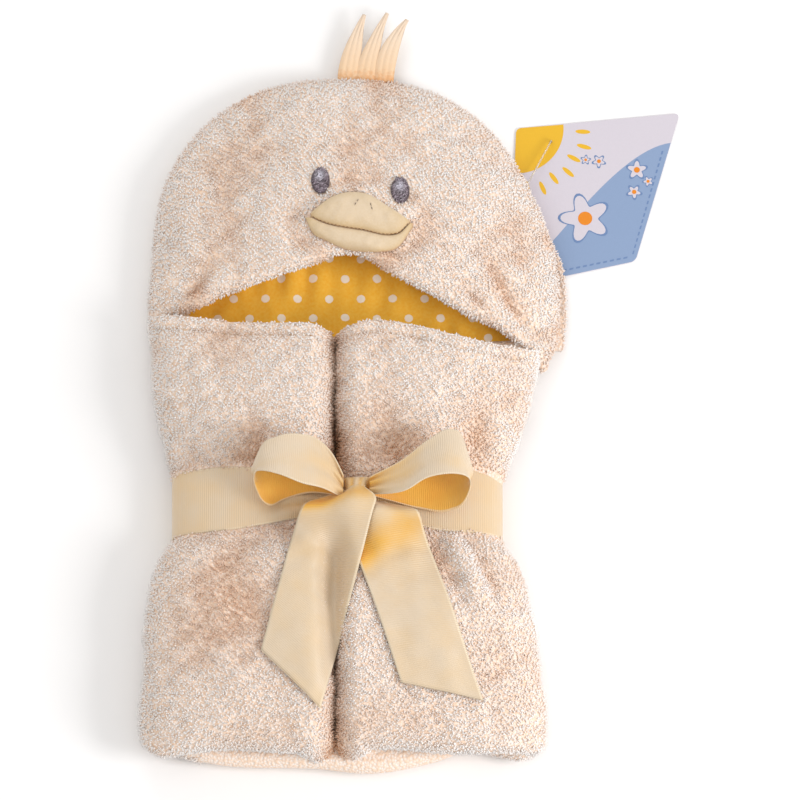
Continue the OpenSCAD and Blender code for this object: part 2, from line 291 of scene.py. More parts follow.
# Materials -----------------------------------------------------------------
class Nodes:
    """A material's node tree with short calls for the nodes that this script uses."""

    def __init__(self, name, **sockets):
        self.mat = bpy.data.materials.new(name)
        self.mat.use_nodes = True
        self.tree = self.mat.node_tree
        self.shader = self.tree.nodes["Principled BSDF"]
        for key, value in sockets.items():
            self.shader.inputs[key.replace("_", " ")].default_value = value

    def put(self, target, value):
        if isinstance(value, bpy.types.NodeSocket):
            self.tree.links.new(value, target)
        else:
            target.default_value = value

    def node(self, kind, out, *values, **settings):
        node = self.tree.nodes.new(kind)
        inputs = {k: settings.pop(k) for k in list(settings) if k in node.inputs}
        for key, value in settings.items():
            setattr(node, key, value)
        for socket, value in zip(node.inputs, values):
            if value is not None:
                self.put(socket, value)
        for key, value in inputs.items():
            self.put(node.inputs[key], value)
        return node.outputs[out]

    def attribute(self, name):
        return self.node("ShaderNodeAttribute", "Fac", attribute_name=name)

    def coords(self):
        return self.node("ShaderNodeTexCoord", "Object")

    def math(self, operation, *values):
        return self.node("ShaderNodeMath", 0, *values, operation=operation)

    def vector(self, operation, *values):
        out = "Value" if operation == "LENGTH" else "Vector"
        return self.node("ShaderNodeVectorMath", out, *values, operation=operation)

    def combine(self, x, y, z=0.0):
        return self.node("ShaderNodeCombineXYZ", 0, x, y, z)

    def noise(self, scale, detail=3.0, vector=None):
        place = vector or self.coords()
        return self.node("ShaderNodeTexNoise", "Fac", Vector=place, Scale=scale, Detail=detail)

    def ramp(self, value, *stops):
        node = self.tree.nodes.new("ShaderNodeValToRGB")
        self.put(node.inputs[0], value)
        elements = node.color_ramp.elements
        while len(elements) < len(stops):
            elements.new(0.5)
        for element, (place, colour) in zip(elements, stops):
            element.position = place
            element.color = (*colour, 1) if hasattr(colour, "__len__") else (colour, colour, colour, 1)
        return node.outputs[0]

    def mix(self, amount, a, b, blend="MIX"):
        node = self.tree.nodes.new("ShaderNodeMix")
        node.data_type = "RGBA"
        node.blend_type = blend
        for socket, value in zip((node.inputs[0], node.inputs[6], node.inputs[7]), (amount, a, b)):
            if not isinstance(value, bpy.types.NodeSocket) and hasattr(value, "__len__"):
                value = (*value, 1)
            self.put(socket, value)
        return node.outputs[2]

    def colour(self, value):
        self.put(self.shader.inputs["Base Color"], value)

    def bump(self, height, strength, distance):
        out = self.node("ShaderNodeBump", 0, Height=height, Strength=strength, Distance=distance)
        self.tree.links.new(out, self.shader.inputs["Normal"])


def rgb(r, g, b):
    """Linear colour from the 0 to 255 numbers that a screen shows."""
    return tuple(((c / 255 + 0.055) / 1.055) ** 2.4 if c > 10 else c / 3295 for c in (r, g, b))


def terry_material(name, tip, mid, painted_shade):
    """Pile yarn: pale at its tips, with painted shade that makes it darker and warmer towards the ground of
    the cloth and where its place lies in shade.
    """
    m = Nodes(name, Roughness=0.95, Sheen_Weight=0.35, Sheen_Roughness=0.6, Specular_IOR_Level=0.15)
    m.shader.inputs["Sheen Tint"].default_value = (*rgb(255, 240, 225), 1)
    patches = m.noise(60, 3)
    tone = m.math("ADD", m.math("MULTIPLY", m.attribute("tone"), 0.5), m.math("MULTIPLY", patches, 0.5))
    # Painted shade: darker towards each loop's root, low in the pile, and where its shade value is high;
    # tone and patches vary at random
    height = m.math("ADD", m.attribute("tip"), m.math("MULTIPLY", m.math("SUBTRACT", tone, 0.5), 0.9))
    height = m.math("SUBTRACT", height, m.math("MULTIPLY", m.attribute("painted_shade"), 0.55))
    yarn = m.ramp(height, (0.0, painted_shade), (0.36, mid), (0.8, tip))
    # Painted shade: a warm tan multiplied in by the same shade value
    m.colour(m.mix(m.math("MULTIPLY", m.attribute("painted_shade"), 1.0), yarn, rgb(228, 174, 118), "MULTIPLY"))
    m.bump(m.noise(2600, 2), 0.35, 0.0006)
    return m.mat


def ground_material(name, mid, painted_shade):
    """Terry cloth between its loops, and where the pile is pressed flat."""
    m = Nodes(name, Roughness=1.0, Sheen_Weight=0.2, Specular_IOR_Level=0.1)
    cells = m.node("ShaderNodeTexVoronoi", "Distance", Vector=m.coords(), Scale=520.0)
    # Painted shade: the cloth's shade value pushes it towards the darker colour, on top of the loop cells'
    # pattern
    loops = m.math("ADD", cells, m.math("MULTIPLY", m.attribute("painted_shade"), 0.3))
    m.colour(m.ramp(loops, (0.1, mid), (0.75, painted_shade)))
    m.bump(cells, 0.8, 0.0012)
    return m.mat


TIP = rgb(254, 252, 251)
MID = rgb(253, 247, 243)
# Colour at the loops' roots: painted shade low in the pile
PILE_ROOT_SHADE = rgb(244, 225, 210)
PILE = terry_material("terry_pile", TIP, MID, PILE_ROOT_SHADE)
# The darker colour serves both the loop cells' pattern and painted shade
GROUND = ground_material("terry_ground", rgb(251, 243, 237), rgb(242, 214, 190))


# Folded towel --------------------------------------------------------------
# Outer edges of the bundle seen from above, its height, and the Y of its top and foot edges
LEFT_EDGE = [(-160, -137), (-130, -141), (-90, -140), (-30, -134), (-6, -127), (8, -118),
             (20, -118), (46, -118), (57, -119), (90, -127), (126, -134), (172, -137)]
RIGHT_EDGE = [(-160, 137), (-130, 141), (-82, 137), (-42, 130), (-8, 122), (8, 109),
              (20, 108), (46, 108), (57, 110), (90, 125), (125, 133), (172, 136)]
HEIGHT = [(-150, 46), (-120, 51), (-70, 57), (-25, 56), (0, 49), (10, 44), (20, 44), (46, 44),
          (56, 44), (68, 49), (95, 56), (125, 54), (172, 46)]
TOP_EDGE = [(-140, 170), (-105, 164), (-40, 158), (3, 161), (40, 158), (81, 147), (140, 143)]
BACK_FOOT = [(-141, -134), (-100, -148), (-15, -154), (15, -157), (60, -149), (86, -140),
             (108, -145), (124, -147), (140, -134)]
SKIN = PLY / 2 + 2.2  # half a ply and its pile, outside the cloth's middle
HEM = 9  # distance of the hem's stitches from the top edge
BOTTOM_Z = 3.6
WIDEST_Z = 18
GROOVE_Z = 13
INNER_ROLL = 17
PILE_ROWS = 122  # rows of the outer ply and its roll at the foot, which carry pile
HALF_COLUMNS = 130  # of the cloth's grid, from the middle of the back to the gap

low_noise = make_noise(9, 45, 110)
mid_noise = make_noise(12, 14, 30)
fine_noise = make_noise(12, 6, 11)


def top_edge(x):
    """Y of the folds' top edge, which dips beside the gap."""
    return curve(TOP_EDGE, x) - 7 * bump(x - GAP_X, 15)


def off_band(y):
    """Distance beyond the ribbon's edge."""
    return np.maximum(0, np.abs(y - BAND_Y) - BAND_WIDTH / 2)


def band_width(x, z):
    """Width of the ribbon's band, which its knot draws in on top of the bundle."""
    drawn = (1 - smooth((np.abs(x - KNOT_X) - 8) / np.where(x < KNOT_X, 84, 56))) * smooth((z - 30) / 12)
    return BAND_WIDTH + (GATHERED + 6 - BAND_WIDTH) * drawn


def section(side, y):
    """Half of the bundle's outline at y: middle of the back, round the side, over the top,
    down into the gap and a little way under, as x, z and spread evenly."""
    edge = curve(RIGHT_EDGE if side > 0 else LEFT_EDGE, np.array([y]))[0]
    half = abs(edge - GAP_X) - PLY / 2 - (SKIN - PLY / 2) * smooth(off_band(y) / 6)
    top = curve(HEIGHT, np.array([y]))[0]
    a = np.radians(np.linspace(-90, 0, 60))
    xs = [half * np.cos(a) ** 0.4]
    zs = [WIDEST_Z - (WIDEST_Z - BOTTOM_Z) * (-np.sin(a)) ** 0.4]
    full = 2.7 - 0.4 * bump(y - BAND_Y, 30)
    a = np.radians(np.linspace(1, 52, 50))
    xs.append(half * np.cos(a) ** (2 / full))
    xs.append(np.linspace(xs[-1][-1] - 1, INNER_ROLL + 2, 60))
    xs.append(1.5 + INNER_ROLL * (1 - np.sin(np.radians(np.linspace(5, 90, 40)))))
    for x in xs[1:]:
        z = WIDEST_Z + (top - WIDEST_Z) * np.maximum(0, 1 - (x / half) ** full) ** (1 / full)
        u = np.clip((x - 1.5) / INNER_ROLL, 0, 1)
        zs.append(GROOVE_Z + (z - GROOVE_Z) * np.sqrt(1 - (1 - u) ** 2))
    xs.append(np.array([2.0, 4, 8, 42]))
    zs.append(np.array([GROOVE_Z - 2.5, GROOVE_Z - 3.6, GROOVE_Z - 4, GROOVE_Z - 4]))
    x, z = np.concatenate(xs), np.concatenate(zs)
    length = run_length(np.stack([x, z], 1))
    even = np.linspace(0, length[-1], HALF_COLUMNS)
    return GAP_X + side * np.interp(even, length, x), np.interp(even, length, z)


def outer_surface():
    """The bundle's outer face on a grid of y, with its section normals and path fraction."""
    ys = np.arange(-164, 174, 2.0)
    rows = []
    for y in ys:
        lx, lz = section(-1, y)
        rx, rz = section(1, y)
        x = np.concatenate([lx[::-1], rx[1:]])
        z = np.concatenate([lz[::-1], rz[1:]])
        rows.append(np.stack([x, np.full_like(x, y), z], 1))
    p = np.stack(rows[::-1], 1)  # [column, row from hood to foot]
    n = grid_normals(p)
    q = np.abs(np.arange(p.shape[0]) - (HALF_COLUMNS - 1)) / (HALF_COLUMNS - 1)
    return ys[::-1], p, n, q


# Hollows pressed into the folds, which also get painted shade: x, y, half width, half length and depth
HOLLOWS = [(44, 70, 34, 13, 2.6), (-62, 66, 16, 18, 1.6), (-38, 4, 20, 9, 1.6), (92, 78, 9, 22, 1.8),
           (-70, -60, 22, 30, 1.2), (-84, -34, 46, 62, 1.2),
           (58, -20, 10, 26, 1.8), (100, -70, 26, 40, 1.0)]


def hollows(x, y):
    return sum(depth * bump(np.hypot((x - cx) / rx, (y - cy) / ry), 1) for cx, cy, rx, ry, depth in HOLLOWS)


def relief(x, y, top):
    """Folds of the outer ply, in millimetres outwards; top is 1 on the two front folds."""
    d = off_band(y)
    gathers = np.sin((x + 6 * np.sin(y / 21)) / 7.5) * np.exp(-d / 16) * 1.6 * smooth(d / 4)
    ridge_x = 73 - 0.42 * (y - 5)
    along = smooth((y + 52) / 20) * smooth((10 - y) / 12)
    ridge = (4.5 * bump(x - ridge_x, 6) - 2.8 * bump(x - ridge_x - 13, 7)
             - 2.4 * bump(x - ridge_x + 13, 8)) * along
    valley_x = -52 + 1.25 * (y - 10)
    valley = -3.2 * bump((x - valley_x) * 0.62, 7) * smooth((y + 42) / 25) * smooth((8 - y) / 10)
    hem = (0.9 * bump(y - top_edge(x) + 4, 3.5) - 1.1 * bump(y - top_edge(x) + HEM, 1.6))
    return (1.7 * low_noise(x, y) + 0.7 * mid_noise(x, y) + 0.28 * fine_noise(x, y)
            + top * (gathers + ridge + valley + hem - hollows(x, y)))


def towel():
    ys, p0, n0, q = outer_surface()
    on_top = smooth((q - 0.36) / 0.12) * (1 - smooth((q - 0.86) / 0.05))
    foot_x = p0[:, 8, 0]
    is_top = smooth((q - 0.34) / 0.1)
    back_foot = curve(BACK_FOOT, foot_x) + SKIN
    foot_y = back_foot * (1 - is_top) + (FOLD_FOOT_Y + 1.5 * np.sin(foot_x / 17)) * is_top
    top_y = TOP_Y * (1 - is_top) + top_edge(foot_x) * is_top
    mouth = bump(foot_x - 104, 20)
    radius = curve([(0, 6.5), (0.3, 6.5), (0.42, 9.5), (0.55, 14.5), (0.8, 14.5), (0.9, 7), (1, 2.5)], q)
    radius = radius * (1 - 0.35 * mouth)

    # Way along the cloth's length: outer ply, roll at the foot, middle ply, fold, inner ply
    turn = np.radians(np.linspace(0, 180, 15))
    outer = np.linspace(0, 1, 105)
    parts = []
    for t in outer:
        parts.append((top_y + (foot_y + radius - top_y) * t, 0 * q, 0 * q))
    for a in turn[1:]:
        parts.append((foot_y + radius * (1 - np.sin(a)), radius * (1 - np.cos(a)), 0 * q + math.degrees(a)))
    inner_r = np.maximum(radius - 2.6, 1.2)
    back_y = top_y - 5 - inner_r
    for t in np.linspace(0, 1, 34)[1:]:
        parts.append((foot_y + radius + (back_y - foot_y - radius) * t, 2 * radius, 0 * q + 180))
    for a in turn[1:]:
        parts.append((back_y + inner_r * np.sin(a), 2 * radius - inner_r * (1 - np.cos(a)), 0 * q + 180))
    for t in np.linspace(0, 1, 34)[1:]:
        parts.append((back_y + (foot_y + 2 * radius - back_y) * t, 2 * (radius - inner_r), 0 * q + 180))
    y = np.stack([a[0] for a in parts], 1)
    depth = np.stack([a[1] for a in parts], 1)
    angle = np.stack([a[2] for a in parts], 1)

    columns, rows = y.shape
    p = np.empty((columns, rows, 3))
    n = np.empty((columns, rows, 3))
    for c in range(columns):
        for k in range(3):
            p[c, :, k] = np.interp(-y[c], -ys, p0[c, :, k])
            n[c, :, k] = np.interp(-y[c], -ys, n0[c, :, k])
    p[:, :, 1] = y
    fade = np.clip(1 - angle / 100, 0, 1)
    lift = relief(p[:, :, 0], y, on_top[:, None]) * fade
    lift *= np.where(q < 0.3, 0.15, 1)[:, None] * (1 - 0.9 * smooth((q - 0.87) / 0.05))[:, None]
    lift *= smooth(off_band(y) / 5)
    p = p + n * (lift - depth)[:, :, None]
    full_n = grid_normals(p)

    x, z = p[:, :, 0], p[:, :, 2]
    # Painted shade: darker in the groove between the folds, beside the ribbon, in sunken folds and hollows,
    # and towards the table
    groove = bump(np.abs(x - GAP_X) - 2, 9) * on_top[:, None] * np.clip(1.15 - z / 60, 0, 1)
    shade = 0.95 * groove + 0.3 * np.exp(-off_band(y) / 7) + 0.2 * np.clip(-lift / 2, 0, 2)
    shade += 0.11 * hollows(x, y) * on_top[:, None]
    shade = np.clip(shade + 0.25 * smooth((16 - z) / 14), 0, 1)
    sheet = cloth("towel_sheet", p, PLY, {"painted_shade": shade}, normals=full_n)
    sheet.data.materials.append(GROUND)

    seen = np.where((q > 0.27) & (q < 0.93), 1.0, 0.0)[:, None] * (angle < 125) * np.ones_like(y)
    seen = seen * (np.abs(y - BAND_Y) > band_width(x, z) / 2 + 0.3)
    middle = HALF_COLUMNS - 1
    piles = []
    surface = p + full_n * PLY / 2
    halves = {"towel_pile_left": slice(0, middle + 1), "towel_pile_right": slice(middle, None)}
    for name, half in halves.items():
        part = half, slice(0, PILE_ROWS)
        o = pile(name, surface[part], full_n[part], seen[part], shade[part])
        o.data.materials.append(PILE)
        piles.append(o)
    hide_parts("towel_back_panel", "towel_left_fold", "towel_right_fold")
    for o in (sheet, *piles):
        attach(o, "bundle")
    return sheet


TOWEL = towel()


# Hood ----------------------------------------------------------------------
# Mouth edge of the hood from its left corner over the forehead to its right corner: x, y, z
MOUTH = [(-131, 154, 10), (-126, 172, 19), (-95, 185, 35), (-32, 205, 48), (6, 215, 50),
         (45, 195, 48), (84, 175, 40), (110, 164, 32), (131, 149, 19), (139, 137, 11)]
EYES = {"left_eye": (-17, 262), "right_eye": (38, 255)}
# Outlines of the bill: bottom of its lower half, the seam between the halves, top of its upper half
LOWER_BILL = [(-28, 235), (-24, 225), (-14, 217), (12, 209), (27, 209), (38, 214), (47, 228)]
UPPER_BILL = [(-24, 234), (-14, 229), (12, 224), (30, 221), (38, 223), (45, 231)]
BILL_CROWN = [(-24, 237), (-10, 248), (4, 253), (16, 251), (30, 242), (45, 232)]
NECK_Y = TOP_Y - 8
RIM = 3.4  # radius of the rolled hem round the mouth
LINING_T = 0.8  # thickness of the jersey lining
HOOD_COLUMNS = 190
SEAM_Z = 8.5
BACK_Z = 4.6


def outline(inset=0.0, spread=0.0, n=HOOD_COLUMNS):
    """The hood's outline seen from above, right neck corner over the crown to the left one."""
    half = (HOOD_HIGH[0] - HOOD_LOW[0]) / 2 + 1 - inset
    base_y = HOOD_TOP_Y - 172
    a = np.radians(np.linspace(0, 180, 400))
    c, sn = np.cos(a), np.sin(a)
    y = base_y + (172 - inset) * np.abs(sn) ** (2 / 2.4)
    x = np.sign(c) * half * np.abs(c) ** (2 / 2.4)
    lean = HOOD_X * (1 - smooth((y - 200) / 90))
    x = x + lean + spread * smooth((245 - y) / 40) * (c > 0)
    x = np.concatenate([[x[0] - 2], x, [x[-1] + 2]])
    y = np.concatenate([[NECK_Y], y, [NECK_Y]])
    length = run_length(np.stack([x, y], 1))
    even = np.linspace(0, length[-1], n)
    return np.interp(even, length, x), np.interp(even, length, y)


def mouth_edge(n=HOOD_COLUMNS):
    points = path(MOUTH, 400)[::-1]
    length = run_length(points)
    even = np.linspace(0, length[-1], n)
    return np.stack([np.interp(even, length, points[:, k]) for k in range(3)], 1)


def hood_dents(x, y):
    """Hollows beside the mouth's corners, the bill's seam and soft waves, in millimetres."""
    right = 4.5 * bump((x - 108) + 0.55 * (y - 188), 8) * bump(y - 186, 24)
    right += 2.6 * bump((x - 92) + 0.8 * (y - 176), 7) * bump(y - 178, 16)
    left = 3.8 * bump((x + 100) - 0.4 * (y - 190), 8) * bump(y - 188, 18)
    pad = 2.2 * bump(np.hypot((x - 10) / 46, (y - 232) / 30) - 1, 0.2)
    waves = 1.5 * low_noise(x + 300, y) + 0.6 * mid_noise(x + 300, y)
    return waves - right - left - pad


def hood_shell():
    """Front layer from its seam to the mouth, then rolled round the hem and a little way back."""
    sx, sy = outline()
    mouth = mouth_edge()
    seam = np.stack([sx, sy, np.full_like(sx, SEAM_Z)], 1)
    r = np.sin(np.radians(np.linspace(0, 90, 64))) * 0.35 + np.linspace(0, 1, 64) * 0.65
    plan = seam[:, None, :] * (1 - r[None, :, None]) + mouth[:, None, :] * r[None, :, None]
    arc = np.sin(np.radians(90 * np.clip(r, 0, 1))) ** 0.62
    plan[:, :, 2] = seam[:, None, 2] + (mouth[:, None, 2] - seam[:, None, 2]) * arc[None, :]
    n = grid_normals(plan)
    inside = smooth(r / 0.12) * smooth((1 - r) / 0.05)
    p = plan + n * (hood_dents(plan[:, :, 0], plan[:, :, 1]) * inside[None, :])[:, :, None]
    n = grid_normals(p)
    out = p[:, -1] - p[:, -2]
    out /= np.linalg.norm(out, axis=1, keepdims=True)
    # The roll tapers away at the two corners, where the front layer runs out
    room = np.clip(np.linalg.norm(mouth - seam, axis=1) / 40, 0.08, 1)[:, None]
    turn = np.radians(np.linspace(15, 180, 10))
    rolled = [p[:, -1] + room * RIM * (out * math.sin(a) - n[:, -1] * (1 - math.cos(a))) for a in turn]
    rolled += [rolled[-1] - out * k * room for k in (3, 6, 10)]
    return p, np.concatenate([p, np.stack(rolled, 1)], 1)


def hood():
    p, full = hood_shell()
    n = grid_normals(full)
    rows = p.shape[1]
    x, y = full[:, :, 0], full[:, :, 1]
    # Painted shade: darker in the dents beside the mouth's corners, round the bill and in the troughs of
    # the waves, and towards the table
    dents = np.clip(-hood_dents(x, y) / 4, 0, 1)
    shade = np.clip(0.6 * dents + 0.2 * smooth((20 - full[:, :, 2]) / 14), 0, 1)
    front = cloth("hood_front_terry", full, PLY, {"painted_shade": shade}, normals=n)
    front.data.materials.append(GROUND)
    keep = np.ones_like(x)
    keep[:, rows + 7:] = 0
    for ex, ey in EYES.values():
        keep[np.hypot((x - ex) / 7.4, (y - ey) / 10.8) < 1] = 0
    over_bill = (x > LOWER_BILL[0][0]) & (x < LOWER_BILL[-1][0])
    keep[over_bill & (y > curve(LOWER_BILL, x) + 3) & (y < curve(BILL_CROWN, x) - 1)] = 0
    front_pile = pile("hood_front_pile", full + n * PLY / 2, n, keep, shade)
    front_pile.data.materials.append(PILE)

    # Back layer: flat on the table, a little wider than the front on the right
    sx, sy = outline(spread=6)
    t = np.linspace(0, 1, 60)[None, :]
    neck_x = np.linspace(sx[0] - 1, sx[-1] + 1, HOOD_COLUMNS)
    bx = sx[:, None] * (1 - t) + neck_x[:, None] * t
    by = sy[:, None] * (1 - t) + NECK_Y * t
    low = BACK_Z + 0.3 * low_noise(bx, by) + 1.2 * smooth((bx - 70) / 30)
    back_grid = np.stack([bx, by, low], 2)
    bn = grid_normals(back_grid)
    # The back layer carries an even painted shade all over
    back = cloth("hood_back_terry", back_grid, PLY, {"painted_shade": 0.2 + 0 * bx}, normals=bn)
    back.data.materials.append(GROUND)
    rim = np.concatenate([back_grid[:, 4::-1] + bn[:, 4::-1] * PLY / 2,
                          back_grid[:, :5] - bn[:, :5] * PLY / 2], 1)
    rim_n = grid_normals(rim)
    outward = np.sign((rim_n[:, 5, :2] * (rim[:, 5, :2] - np.array([HOOD_X, 220]))).sum(1).mean())
    everywhere = np.ones(rim.shape[:2])
    # Its pile carries an even painted shade too
    back_pile = pile("hood_back_pile", rim, rim_n * outward, everywhere, 0.25 * everywhere)
    back_pile.data.materials.append(PILE)

    # Lining: the part behind the mouth, laid over the back layer and up inside the front
    lx, ly = outline(inset=9)
    t = np.linspace(0, 1, 70)[None, :]
    gx = lx[:, None] * (1 - t) + np.linspace(lx[0] - 1, lx[-1] + 1, HOOD_COLUMNS)[:, None] * t
    gy = ly[:, None] * (1 - t) + (NECK_Y + 2) * t
    side = np.abs(gx - HOOD_X) / ((HOOD_HIGH[0] - HOOD_LOW[0]) / 2)
    folds = 1.3 * mid_noise(gx * 1.1 + 900, gy * 0.35) + 1.6 * low_noise(gx + 900, gy)
    gz = BACK_Z + 5.5 + 3.5 * side**4 + folds * smooth(t / 0.1)
    lining_grid = np.stack([gx, gy, gz], 2)
    lining_back = cloth("hood_lining_lower", lining_grid, LINING_T, {"across": gx, "along": gy})
    inner = p[:, ::-1][:, :58] - grid_normals(p)[:, ::-1][:, :58] * (PLY / 2 + RIM * 1.4)
    inner = inner[12:-12, ::-1]
    spots = {"across": inner[:, :, 0], "along": inner[:, :, 1]}
    lining_front = cloth("hood_lining_upper", inner, LINING_T, spots)
    for o in (lining_back, lining_front):
        o.data.materials.append(lining_material())

    for o, nodes in ((front, ["hood_front"]), (back, ["hood_back"]),
                     (lining_back, ["hood_lining_back"]), (lining_front, ["hood_lining_front"])):
        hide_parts(*nodes)
    for o in (front, back, front_pile, back_pile, lining_back, lining_front):
        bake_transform(o)
    return front


def lining_material():
    """Jersey with staggered pale dots."""
    m = Nodes("dotted_lining", Roughness=0.85, Sheen_Weight=0.15, Specular_IOR_Level=0.2)
    across, along = 22.0, 29.0
    place = m.combine(m.attribute("across"), m.attribute("along"))

    def lattice(shift):
        shifted = m.vector("ADD", m.vector("DIVIDE", place, (across, along, 1)), (shift, shift, 0.5))
        from_middle = m.vector("SUBTRACT", m.vector("FRACTION", shifted), (0.5, 0.5, 0.5))
        return m.vector("LENGTH", m.vector("MULTIPLY", from_middle, (across, along, 0)))

    nearest = m.math("MINIMUM", lattice(0.0), lattice(0.5))
    wobble = m.math("MULTIPLY", m.math("SUBTRACT", m.noise(900, 2), 0.5), 0.7)
    reach = m.math("ADD", m.math("DIVIDE", nearest, 10), m.math("MULTIPLY", wobble, 0.1))
    dot = m.ramp(reach, (0.27, 1.0), (0.31, 0.0))
    ground = m.ramp(m.noise(500, 3), (0.3, rgb(252, 190, 58)), (0.7, rgb(255, 204, 82)))
    m.colour(m.mix(dot, ground, rgb(255, 246, 230)))
    knit = m.node("ShaderNodeTexWave", "Fac", Vector=m.coords(), Scale=420.0, Distortion=1.5)
    m.bump(knit, 0.25, 0.0004)
    return m.mat


HOOD = hood()


# Surfaces under the small pieces ----------------------------------------------
def surface_tree(*objects):
    """Search tree of these objects' faces."""
    verts, faces = [], []
    for o in objects:
        start = len(verts)
        verts += [v.co.copy() for v in o.data.vertices]
        faces += [[start + i for i in face.vertices] for face in o.data.polygons]
    return BVHTree.FromPolygons(verts, faces)


def height_on(tree, x, y):
    """Height of the topmost face under each x, y; a miss takes its neighbours' height."""
    flat = np.full(x.size, np.nan)
    for i, (a, b) in enumerate(zip(x.ravel(), y.ravel())):
        hit = tree.ray_cast(Vector((a, b, 200)) * MM, Vector((0, 0, -1)))[0]
        if hit:
            flat[i] = hit.z / MM
    z = flat.reshape(x.shape)
    for row in z:
        known = ~np.isnan(row)
        if known.any():
            row[:] = np.interp(np.arange(len(row)), np.flatnonzero(known), row[known])
    return np.where(np.isnan(z), np.nanmean(z), z)


def soften(z, times=4):
    """Blur of a grid of heights."""
    for _ in range(times):
        z = np.pad(z, 1, mode="edge")
        z = (z[:-2, 1:-1] + z[2:, 1:-1] + z[1:-1, :-2] + z[1:-1, 2:] + 2 * z[1:-1, 1:-1]) / 6
    return z


def beans_on(name, centre, axis, long, wide, attributes=None):
    """Short threads: one bean of yarn at each centre along its axis."""
    centre, axis = np.asarray(centre, float), np.asarray(axis, float)
    axis = axis / np.linalg.norm(axis, axis=1, keepdims=True)
    side = np.cross(axis, (0.13, 0.21, 0.97))
    side /= np.linalg.norm(side, axis=1, keepdims=True)
    other = np.cross(axis, side)
    long = np.broadcast_to(long, len(centre))[:, None, None]
    verts = (centre[:, None] + BEAN[None, :, 0:1] * side[:, None] * wide
             + BEAN[None, :, 1:2] * other[:, None] * wide
             + BEAN[None, :, 2:3] * axis[:, None] * long)
    faces = BEAN_FACES[None] + (np.arange(len(centre)) * len(BEAN))[:, None, None]
    values = {k: np.repeat(v, len(BEAN)) for k, v in (attributes or {}).items()}
    return new_mesh(name, verts.reshape(-1, 3), faces.reshape(-1, 3), values)


def stitch_row(name, points, long, wide, share=0.7):
    """Running stitches along a dense list of points."""
    points = np.asarray(points, float)
    length = run_length(points)
    count = max(2, int(length[-1] / (long / share)))
    at = (np.arange(count) + 0.5) / count * length[-1]

    def place(s):
        return np.stack([np.interp(s, length, points[:, k]) for k in range(3)], 1)

    return beans_on(name, place(at), place(at + 0.5) - place(at - 0.5), long, wide,
                    {"tone": rng.random(count)})


def thread_material(name, dark, light):
    m = Nodes(name, Roughness=0.55, Sheen_Weight=0.3)
    m.colour(m.ramp(m.attribute("tone"), (0.0, dark), (1.0, light)))
    m.bump(m.noise(3500, 2), 0.4, 0.0002)
    return m.mat


# Hem stitches ----------------------------------------------------------------
def hem_stitches():
    thread = thread_material("hem_thread", rgb(196, 150, 104), rgb(238, 214, 182))
    for name, ends in (("left", (-122, GAP_X - 14)), ("right", (GAP_X + 14, 122))):
        x = np.linspace(*ends, 120)
        y = top_edge(x) - HEM
        z = height_on(TOWEL_TREE, x[None], y[None])[0]
        row = stitch_row(f"{name}_hem_threads", np.stack([x, y, z + 0.6], 1), 3.2, 0.55)
        row.data.materials.append(thread)
        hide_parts(f"{name}_hem_stitching")
        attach(row, "bundle")


# Face ------------------------------------------------------------------------
def fleece_material():
    m = Nodes("fleece", Roughness=1.0, Sheen_Weight=0.5, Sheen_Roughness=0.5, Specular_IOR_Level=0.1)
    mottle = m.math("MULTIPLY", m.noise(700, 5), 0.45)
    # Painted shade: darker and browner towards the pad's edges, lighter on its puffed crown; the mottle
    # varies at random
    felt = m.math("ADD", mottle, m.math("MULTIPLY", m.attribute("crown"), 0.6))
    m.colour(m.ramp(felt, (0.2, rgb(186, 142, 94)), (0.45, rgb(210, 184, 142)), (0.85, rgb(220, 200, 172))))
    m.bump(m.noise(1600, 4), 0.5, 0.0005)
    return m.mat


def bill_half(name, low, high, rise, node, material):
    """Padded half of the bill between its lower and upper outline, puffed over the hood."""
    ends = low[0][0], low[-1][0]
    u = np.sin(np.radians(np.linspace(-90, 90, 60)))
    v = np.sin(np.radians(np.linspace(-90, 90, 30)))
    x = (ends[0] + ends[1]) / 2 + (ends[1] - ends[0]) / 2 * u
    bottom, top = curve(low, x), curve(high, x)
    top = np.maximum(top, bottom + 0.8)
    y = (bottom + top)[:, None] / 2 + (top - bottom)[:, None] / 2 * v[None]
    x = np.repeat(x[:, None], len(v), 1)
    puff = ((1 - np.abs(u) ** 3)[:, None] * (1 - np.abs(v) ** 2.6)[None]) ** 0.5
    base = soften(height_on(HOOD_TREE, x, y), 12)
    wrinkles = 0.35 * fine_noise(x, y) * puff
    thick = 1.2 + rise * puff + wrinkles
    p = np.stack([x, y, base + 0.2 + thick / 2], 2)
    up = np.zeros_like(p)
    up[:, :, 2] = 1
    # The puff also sets the fleece's painted shade: lighter on the crown, darker at the edges
    o = cloth(name, p, thick[:, :, None], {"crown": puff}, normals=up)
    o.data.materials.append(material)
    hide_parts(node)
    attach(o, "hood")
    return o


